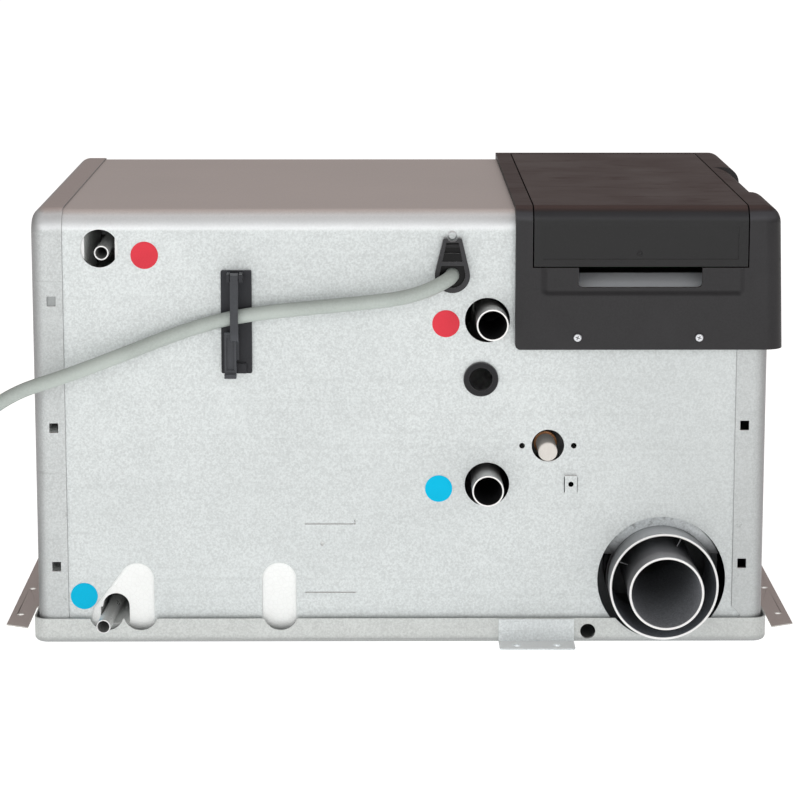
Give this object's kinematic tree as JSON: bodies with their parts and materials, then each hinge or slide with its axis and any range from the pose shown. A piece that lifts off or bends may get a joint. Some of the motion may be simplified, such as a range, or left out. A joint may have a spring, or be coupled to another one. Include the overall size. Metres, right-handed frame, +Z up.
{
  "type": "water heater",
  "caption": "Compact caravan water and space heater: galvanised casing on a tray, black electronics cover with hinged lid, water, heating and gas connections, coaxial flue and mains lead.",
  "frame": {"origin": "middle of the tray's underside, on the surface that the heater stands on", "axes": "+X to the right seen from the front (longest side), the connections and flue face -Y, +Z up"},
  "size_m": [0.7135, 0.375, 0.3095],
  "materials": {
    "galvanised": "galvanised sheet with a fine spangle",
    "bracket_steel": "galvanised sheet",
    "black_plastic": "moulded, fine grain",
    "lid_plastic": "moulded, fine grain",
    "steel_pin": "bright",
    "screw_steel": "zinc plated",
    "label_white": "blank",
    "board_green": "lacquered board",
    "relay_black": "moulded",
    "terminal_grey": "moulded",
    "fuse_red": "translucent",
    "nylon_white": "moulded",
    "sticker_red": "vinyl",
    "sticker_blue": "vinyl",
    "strain_black": "moulded nylon",
    "cable_grey": "smooth sheath",
    "core_colour": "insulated core",
    "clip_grey": "moulded nylon",
    "rubber_black": "moulded",
    "foam_white": "moulded bead foam",
    "stainless": "stainless",
    "alu": "satin",
    "alu_cast": "cast",
    "ceramic_white": "fired",
    "copper": "drawn",
    "cap_white": "moulded",
    "duct_grey": "moulded",
    "coil_black": "moulded",
    "steel_dark": "plain"
  },
  "bodies": {
    "root": {"blade_fuses": "fuse_red", "blank_label": "label_white", "board_standoffs": "nylon_white", "bottom_tray": "galvanised", "burner_plate": "stainless", "burner_tube": "stainless", "cable_clip_base": "clip_grey", "cable_clip_pin": "steel_pin", "casing_wrap": "galvanised", "circuit_board": "board_green", "cold_stickers": "sticker_blue", "cold_water_pipe": "stainless", "combustion_chamber": "stainless", "cover_screws": "screw_steel", "electronics_cover": "black_plastic", "electronics_shelf": "galvanised", "exhaust_manifold": "alu_cast", "fan_housing": "alu_cast", "fan_motor": "steel_dark", "flue_collar": "galvanised", "flue_exhaust_pipe": "alu", "flue_intake_pipe": "alu", "flue_spacers": "stainless", "front_bracket": "bracket_steel", "fuse_holder": "relay_black", "gas_burner_pipe": "copper", "gas_inlet_pipe": "copper", "gas_valve_body": "alu_cast", "heating_flow_pipe": "alu", "heating_jacket": "stainless", "heating_return_pipe": "alu", "hot_stickers": "sticker_red", "hot_water_pipe": "stainless", "ignition_electrode": "ceramic_white", "immersion_heaters": "stainless", "insulation_lower": "foam_white", "insulation_upper": "foam_white", "intake_air_box": "duct_grey", "intake_duct": "duct_grey", "left_bracket": "bracket_steel", "left_end_cap": "galvanised", "lid_hinge_pins": "steel_pin", "mains_cable": "cable_grey", "mains_cable_coil": "cable_grey", "mains_cable_cores": "core_colour", "relays": "relay_black", "right_bracket": "bracket_steel", "right_end_cap": "galvanised", "rubber_grommet": "rubber_black", "solenoid_coils": "coil_black", "strain_relief": "strain_black", "temperature_sensor": "copper", "terminal_block": "terminal_grey", "water_tank": "stainless"},
    "lid": {"access_lid": "lid_plastic"},
    "clip_strap": {"cable_clip_strap": "clip_grey"},
    "gas_cap": {"gas_inlet_cap": "cap_white"},
    "fan_wheel": {"fan_impeller": "alu"},
    "plunger_a": {"solenoid_plunger_a": "steel_dark"},
    "plunger_b": {"solenoid_plunger_b": "steel_dark"}
  },
  "joints": [
    {"name": "lid_hinge", "type": "hinge", "parent": "root", "child": "lid", "pos_m": [0.165, 0.1494, 0.3035], "axis": [-1, 0, 0], "range_deg": [0, 95]},
    {"name": "clip_strap_hinge", "type": "hinge", "parent": "root", "child": "clip_strap", "pos_m": [-0.114, -0.1786, 0.261], "axis": [-1, 0, 0], "range_deg": [0, 100]},
    {"name": "gas_cap_pull", "type": "slide", "parent": "root", "child": "gas_cap", "axis": [0, -1, 0], "range_m": [0, 0.035]},
    {"name": "fan_spin", "type": "hinge", "parent": "root", "child": "fan_wheel", "pos_m": [0.165, 0, 0.12], "axis": [0, 1, 0], "continuous": true},
    {"name": "plunger_a_lift", "type": "slide", "parent": "root", "child": "plunger_a", "axis": [0, 0, 1], "range_m": [0, 0.002], "stiffness_N_per_m": 400, "springref_m": -0.001},
    {"name": "plunger_b_lift", "type": "slide", "parent": "root", "child": "plunger_b", "axis": [0, 0, 1], "range_m": [0, 0.002], "stiffness_N_per_m": 400, "springref_m": -0.001}
  ]
}
